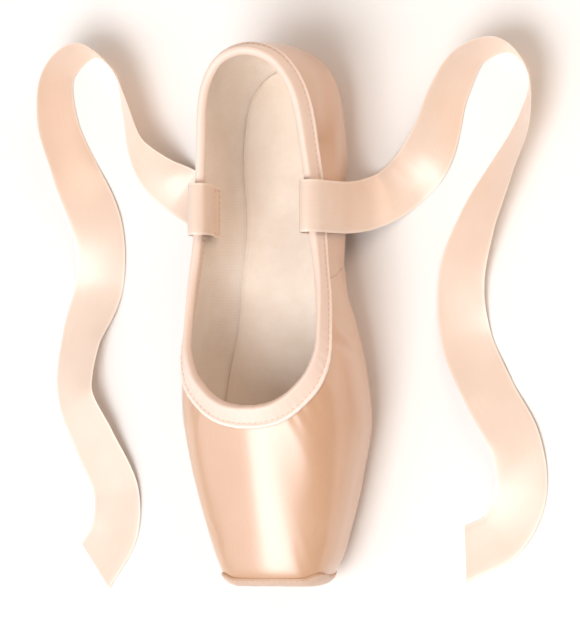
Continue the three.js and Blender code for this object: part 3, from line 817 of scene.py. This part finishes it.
def makeUpper():
    look = SimpleNamespace(**upperLook)
    skin = upperSkin()
    turn, points, height, toCollar = skin.turn, skin.points, skin.height, skin.toCollar
    sideGap, ahead = sideSeamGap(skin)
    backGap = np.where(turn[:, None] < look.backSeam["turn"], np.abs(points[..., 1]), farMark)
    lift = creaseLift(skin) + edgeLift(skin)
    for gap, seam in ((sideGap, look.sideSeam), (backGap, look.backSeam)):
        lift -= seam["depth"] * np.exp(-(gap / seam["width"]) ** 2)
    hold = look.hold
    underCap = smooth(turn, *hold["capTurn"])[:, None] * (1 - smooth(skin.share, *hold["capShare"]))
    free = smooth(height, *hold["sole"]) * smooth(toCollar, *hold["collar"]) * (1 - underCap)
    dressed = points + skin.normals * (lift * free + boxEase(skin))[..., None]

    inner = sectionAt(turn, skin.side, wallThickness(turn))
    lining = sectionRowsOf(inner, look.liningLow, look.liningHigh)
    folds = skin.outer["fold"][:, None], inner["fold"][:, None]
    grid = np.concatenate([folds[0], dressed, lining[:, ::-1], folds[1]], 1)
    around = closedRun(points[:, look.weaveRow])
    up = np.pad(np.hstack([height, runLength(lining)[:, ::-1]]), ((0, 0), (1, 2)))
    weave = np.stack(np.broadcast_arrays(around[:, None], np.vstack([up, up[:1]])), -1)
    bands = (np.arange(grid.shape[1]) > points.shape[1]).astype(int)
    beyond = (0, 0), (1, grid.shape[1] - points.shape[1] - 1)
    # bindingGap and soleGap carry the painted shade below the binding and along the sole
    marks = {"sideGap": sideGap * ahead, "backGap": backGap, "bindingGap": toCollar, "soleGap": height}
    marks = {name: np.pad(values, beyond, constant_values=farMark) for name, values in marks.items()}
    makePiece("upper", "upperSatin", grid, weave, [satinUpper, cottonLining], marks, True, bands)


makeUpper()
print("stage: upper")

# Binding: a satin tape folded over the collar, with a rolled lip along its lower outer edge

bindingLook = {
    "stations": 560,
    # depth below the collar and height off the satin, in mm, from the tucked edge up to the fold
    "outside": [(8.6, -0.25), (8.55, 0.35), (8.3, 0.85), (7.85, 1.12), (7.3, 1.15), (6.8, 0.92),
                (6.45, 0.60), (6.1, 0.48), (5.5, 0.50), (4.6, 0.60), (3.6, 0.72), (2.6, 0.82),
                (1.6, 0.92), (0.7, 1.0), (0, 1.0)],
    "inside": [(0, 1.0), (1.2, 0.95), (2.6, 0.85), (4.0, 0.72), (5.4, 0.58), (6.4, 0.50),
               (6.9, 0.40), (7.1, -0.2)],
    "crown": 1.15, "crownSteps": 8, "crownPucker": 0.06, "lip": 7.6, "tucked": 3,
    # the tape's edges wander a little, and it puckers between the stitches
    "wobble": {"depth": 0.32, "spacing": 34, "seed": 5, "from": (1.0, 6.0)},
    "pucker": {"depth": 0.16, "spacing": 4.6, "seed": 6, "least": 0.35, "grow": (0.32, 0.5),
               "calm": 0.5, "end": (0.8, 0.95), "outside": (0.5, 4.0), "inside": (1.0, 4.0), "above": 0.2},
}


def makeBinding():
    look = SimpleNamespace(**bindingLook)
    size = look.pucker
    turn, side = stationsRound(look.stations)
    collar = sectionAt(turn, side, 0.0)
    run = closedRun(collar["top"])
    wobble = softWaves(run[:-1], run[-1], look.wobble)
    pucker = softWaves(run[:-1], run[-1], size) * swell(turn, size)

    def tapeRow(face, depth, height):
        raised = height + size["depth"] * pucker * smooth(depth, *size[face]) * (height > size["above"])
        shift = look.wobble["depth"] * wobble * smooth(depth, *look.wobble["from"])
        if face == "outside":
            return atDepth(turn, side, -raised, depth + shift)
        return atDepth(turn, side, wallThickness(turn) + raised, depth - shift)

    outside, inside = ([tapeRow(face, *row) for row in bindingLook[face]] for face in ("outside", "inside"))
    middle = (outside[-1] + inside[0]) / 2
    half = (outside[-1] - inside[0]) / 2
    puckered = (1 + look.crownPucker * pucker)[:, None]
    crown = [middle + half * np.cos(angle) + collar["rise"] * look.crown * np.sin(angle) * puckered
             for angle in np.linspace(0, np.pi, look.crownSteps + 1)[1:-1]]
    grid = np.stack(outside + crown + inside, 1)
    across = runLength(grid.mean(0))
    across = np.append(across, across[-1] + look.tucked)
    weave = np.stack(np.broadcast_arrays(run[:, None], across[None]), -1)
    # fromLip carries the painted highlight along the rolled lip
    fromLip = [abs(depth - look.lip) for depth, _ in look.outside]
    fromLip += [farMark] * (grid.shape[1] - len(fromLip))
    makePiece("collar_binding", "collarBinding", grid, weave, [satinTape], {"lipGap": fromLip}, True)


makeBinding()
print("stage: binding")

# Toe cap: a patch over the platform with its edge turned under and sewn down

capLook = {
    "startTurn": 0.905, "fullTurn": 0.932, "skip": 0.012, "reach": 0.36, "leastReach": 0.2,
    "stations": 130, "rows": 34, "crowding": 1.4, "evenness": 0.8, "core": (60.0, 0.0, 20.0),
    "high": 0.85, "edge": 0.30, "roll": 1.6, "under": -1.3,
    "wear": {"depth": 0.07, "round": 400, "spacing": 11, "seed": 4, "in": (2, 6)},
    "rubHeight": 13.0, "rubWidth": 1.7, "sharpDegrees": 70,
}


def capPatch(count, rows):
    look = SimpleNamespace(**capLook)
    start = look.startTurn
    left = 1 - (1 - start) * (1 - np.linspace(0, 1, count // 2 + 1) ** look.crowding)
    turn = np.concatenate([left, left[-2::-1]])
    side = np.concatenate([np.ones(len(left)), -np.ones(len(left) - 1)])
    section = sectionAt(turn, side, 0.0)
    rounded = np.clip((turn - start) / (look.fullTurn - start), 0, 1)
    rounded = look.leastReach + (1 - look.leastReach) * np.sqrt(1 - (1 - rounded) ** 2)
    low = arcRows(section, "low", look.skip, 1, rows, look.evenness)
    high = arcRows(section, "high", 0, look.reach * rounded, rows, look.evenness)
    patch = np.concatenate([low, high[:, 1:]], 1)
    normals = gridNormals(patch, False)
    normals *= np.sign((normals * (patch - look.core)).sum(-1).mean())
    run = runLength(patch.transpose(1, 0, 2)).T
    return patch, normals, runLength(patch), run


def makeCap():
    look = SimpleNamespace(**capLook)
    wear = look.wear
    patch, normals, height, run = capPatch(look.stations, look.rows)
    gap = np.minimum(np.minimum(run, run[-1:] - run), np.minimum(height, height[:, -1:] - height))
    raised = look.edge + (look.high - look.edge) * np.sqrt(np.clip(gap / look.roll, 0, 1))
    waves = softWaves(run, wear["round"], wear)
    front = patch + normals * (raised + waves * wear["depth"] * smooth(gap, *wear["in"]))[..., None]
    back = patch + normals * look.under
    grid = np.concatenate([front, back[:, ::-1]], 1)
    weave = np.stack([run, height], -1)
    weave = np.concatenate([weave, weave[:, ::-1]], 1)
    marks = {"capGap": np.concatenate([gap, gap[:, ::-1]], 1),
             "rubGap": np.hypot(grid[..., 1] / look.rubWidth, grid[..., 2] - look.rubHeight)}
    makePiece("toe_cap", "toeCap", grid, weave, [satinCap], marks, sharpDegrees=look.sharpDegrees)


makeCap()
print("stage: toe cap")

# Outsole: a suede sole with a round edge, skived thinner to the front

soleLook = {
    "stations": 240, "across": 30, "ends": (0.004, 0.996), "samples": 1501, "cornerSteps": 6, "topStep": 3,
    "thick": 2.6, "front": 1.7, "skive": (69.0, 97.0), "round": 0.8,
    "seat": 0.3, "sunk": 0.2,  # below the last's underside, and the top's reach into the upper
    "sharpDegrees": 65,
}


def makeSole():
    look = SimpleNamespace(**soleLook)
    fine = np.linspace(*look.ends, look.samples)
    steps = runLength(outlineAt("edge", fine, 1.0)[0])
    turn = np.interp(np.linspace(0, steps[-1], look.stations + 1), steps, fine)
    x, y = outlineAt("edge", turn, 1.0)[0].T
    top = underside(x) + look.sunk
    bottom = underside(x) - look.seat - look.thick
    bottom += (look.thick - look.front) * smooth(x, *look.skive)
    r = np.minimum(look.round, y / 2)
    middle = (top + bottom + r) / 2
    arc = np.linspace(0, np.pi / 2, look.cornerSteps)
    flat = np.linspace(-1, 1, look.across + 1)[1:-1]
    rows = [(-y, top), (-y, middle)]
    rows += [(-y + r * (1 - np.cos(a)), bottom + r * (1 - np.sin(a))) for a in arc]
    rows += [(f * (y - r), bottom) for f in flat]
    rows += [(y - r * (1 - np.cos(a)), bottom + r * (1 - np.sin(a))) for a in arc[::-1]]
    rows += [(y, middle), (y, top)]
    rows += [(f * y, top) for f in flat[::-look.topStep]]
    grid = np.stack([np.stack([x, rowY, rowZ], -1) for rowY, rowZ in rows], 1)
    makePiece("outsole", "outsoleSuede", grid, grid[..., :2], [soleSuede], sharpDegrees=look.sharpDegrees)


makeSole()
print("stage: outsole")

# Insole: a cotton sock over the shank, dished a little under the foot

insoleLook = {
    "stations": 240, "across": 30, "ends": (0.004, 0.996), "underStep": 6,
    "thick": 2.0, "spread": 3.4, "seat": 0.4, "gap": 0.3,
    "dish": 0.54, "dished": (1.0, 0.2), "edge": 0.7, "edgeFrom": (0.93, 1.0), "sharpDegrees": 65,
}


def makeInsole():
    look = SimpleNamespace(**insoleLook)
    turn = np.linspace(*look.ends, look.stations + 1)
    edge, out = outlineAt("edge", turn, 1.0)
    low = edge + look.seat * out
    high = edge + look.spread * out
    bottom = underside(edge[:, 0]) + wallThickness(turn) + look.gap
    across = np.linspace(-1, 1, look.across + 1)
    height = look.thick - look.dish * (1 - across ** 4) * smooth(np.abs(across), *look.dished)
    height = height - look.edge * smooth(np.abs(across), *look.edgeFrom)
    rows = [np.stack([high[:, 0], f * high[:, 1], bottom + h], -1) for f, h in zip(across, height)]
    rows += [np.stack([low[:, 0], f * low[:, 1], bottom], -1) for f in across[::-look.underStep]]
    grid = np.stack(rows, 1)
    makePiece("insole", "insoleSock", grid, grid[..., :2], [cottonSock], sharpDegrees=look.sharpDegrees)


makeInsole()
print("stage: insole")

# Stitches: one short thread after another along a way, lying on the surface

stitchLook = {
    # pitch, length, width and height of one stitch, in mm
    "binding": (2.5, 1.7, 0.34, 0.26), "cap": (2.4, 1.6, 0.34, 0.26), "ribbon": (2.6, 1.7, 0.36, 0.28),
    "sway": 0.05, "seed": 1,
    "bindingStations": 600, "bindingDepth": 6.0, "liningDepth": 5.6, "bindingLift": 0.62,
    "capGrid": (150, 40), "capIn": 1.3, "capLift": 0.84, "sideEnds": 2, "topEnds": 3,
    "box": (1.6, 13.0), "boxIn": 1.6, "boxSteps": 14, "boxLift": 0.05,  # the box that holds a ribbon's end
}


def stitchTree():
    tree = bpy.data.node_groups.new("stitchRow", "GeometryNodeTree")
    sockets = {"Way": "Geometry", "Pitch": "Float", "Size": "Vector", "Sway": "Float", "Seed": "Int",
               "Thread": "Material"}
    for name, kind in sockets.items():
        tree.interface.new_socket(name, in_out="INPUT", socket_type="NodeSocket" + kind)
    tree.interface.new_socket("Stitches", in_out="OUTPUT", socket_type="NodeSocketGeometry")
    given = tree.nodes.new("NodeGroupInput").outputs
    way = addNode(tree, "GeometryNodeMeshToCurve", {"Mesh": given["Way"]})
    spots = addNode(tree, "GeometryNodeResampleCurve", {
        "Curve": way, "Length": given["Pitch"]}, mode="LENGTH")
    ball = addNode(tree, "GeometryNodeMeshUVSphere", {"Segments": 6, "Rings": 5, "Radius": 0.5}, "Mesh")
    lying = addNode(tree, "GeometryNodeTransform", {"Geometry": ball, "Rotation": (0.0, math.pi / 2, 0.0)})
    stitch = addNode(tree, "GeometryNodeTransform", {"Geometry": lying, "Scale": given["Size"]})
    ahead = addNode(tree, "GeometryNodeInputTangent")
    out = addNode(tree, "GeometryNodeInputNamedAttribute", {"Name": "faceOut"}, data_type="FLOAT_VECTOR")
    turned = addNode(tree, "FunctionNodeAlignRotationToVector", {"Vector": ahead}, axis="X")
    turned = addNode(tree, "FunctionNodeAlignRotationToVector", {
        "Rotation": turned, "Vector": out}, axis="Z", pivot_axis="X")
    back = addNode(tree, "ShaderNodeMath", {0: given["Sway"], 1: -1.0}, operation="MULTIPLY")
    sway = addNode(tree, "FunctionNodeRandomValue", {
        2: back, 3: given["Sway"], "Seed": given["Seed"]}, 1, data_type="FLOAT")
    tilt = addNode(tree, "ShaderNodeCombineXYZ", {"Z": sway})
    turned = addNode(tree, "FunctionNodeRotateRotation", {
        "Rotation": turned, "Rotate By": tilt}, rotation_space="LOCAL")
    row = addNode(tree, "GeometryNodeInstanceOnPoints", {
        "Points": spots, "Instance": stitch, "Rotation": turned})
    row = addNode(tree, "GeometryNodeRealizeInstances", {"Geometry": row})
    row = addNode(tree, "GeometryNodeSetMaterial", {"Geometry": row, "Material": given["Thread"]})
    tree.links.new(row, tree.nodes.new("NodeGroupOutput").inputs["Stitches"])
    return tree


stitches = stitchTree()


# Each way is a row of points with its outward directions
def sewRow(name, ways, size, closed=False):
    points = np.concatenate([way for way, _ in ways]) * mm
    outward = np.concatenate([out for _, out in ways])
    edges = []
    start = 0
    for way, _ in ways:
        final = start + len(way) - 1
        edges += [(k, k + 1) for k in range(start, final)]
        if closed:
            edges.append((final, start))
        start = final + 1
    wayMesh = bpy.data.meshes.new(name + "Way")
    wayMesh.from_pydata(points.tolist(), edges, [])
    wayMesh.attributes.new("faceOut", "FLOAT_VECTOR", "POINT").data.foreach_set("vector", outward.ravel())
    wayPiece = place(name + "Way", wayMesh)
    modifier = wayPiece.modifiers.new("stitches", "NODES")
    modifier.node_group = stitches
    pitch, *size = (measure * mm for measure in size)
    values = {"Pitch": pitch, "Size": size, "Sway": stitchLook["sway"], "Seed": stitchLook["seed"],
              "Thread": thread}
    for item in stitches.interface.items_tree:
        if item.name in values:
            modifier[item.identifier] = values[item.name]
    evaluated = wayPiece.evaluated_get(bpy.context.evaluated_depsgraph_get())
    mesh = bpy.data.meshes.new_from_object(evaluated)
    bpy.data.objects.remove(wayPiece)
    mesh.shade_smooth()
    row = place(name, mesh)
    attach(row, "root")


def sewBinding():
    look = SimpleNamespace(**stitchLook)
    turn, side = stationsRound(look.bindingStations)
    lift = look.bindingLift
    for name, face, away, depth in (("bindingStitches", 0.0, -1, look.bindingDepth),
                                    ("liningStitches", wallThickness(turn), 1, look.liningDepth)):
        way = atDepth(turn, side, face + away * lift, depth)
        higher = atDepth(turn, side, face + away * (lift + 1), depth)
        sewRow(name, [(way, unit(higher - way))], look.binding, closed=True)


# Along both sides and the top of the patch
def sewCap():
    look = SimpleNamespace(**stitchLook)
    patch, normals, height, run = capPatch(*look.capGrid)
    rows, columns = patch.shape[:2]
    inSide = [np.argmin(np.abs(run[:, j] - look.capIn)) for j in range(columns)]
    inTop = [np.argmin(np.abs(height[i, -1] - height[i] - look.capIn)) for i in range(rows)]
    upwards = range(look.sideEnds, columns - look.sideEnds)
    seams = [[(inSide[j], j) for j in upwards], [(rows - 1 - inSide[j], j) for j in upwards],
             [(i, inTop[i]) for i in range(look.topEnds, rows - look.topEnds)]]
    ways = []
    for seam in seams:
        i, j = np.array(seam).T
        ways.append((patch[i, j] + normals[i, j] * look.capLift, normals[i, j]))
    sewRow("capStitches", ways, look.cap)


def sewRibbon(name, ribbon):
    look = SimpleNamespace(**stitchLook)
    centre, across, face = ribbon
    reach = ribbonLook["width"] / 2 - look.boxIn
    lift = ribbonLook["thick"] / 2 + look.boxLift
    first, final = (int(np.argmin(np.abs(runLength(centre) - at))) for at in look.box)
    outward = face * np.sign(-face[first, 1] * centre[first, 1])
    between = np.linspace(-1, 1, look.boxSteps)[1:-1]
    corners = [(i, -1) for i in range(first, final + 1)] + [(final, u) for u in between]
    corners += [(i, 1) for i in range(final, first - 1, -1)] + [(first, u) for u in -between]
    box = np.array([centre[i] + across[i] * u * reach + outward[i] * lift for i, u in corners])
    sewRow(name, [(box, np.broadcast_to(outward[first], box.shape))], look.ribbon, closed=True)


sewBinding()
sewCap()
sewRibbon("ribbonStitchesLeft", ribbonLeft)
sewRibbon("ribbonStitchesRight", ribbonRight)
print("stage: stitches")
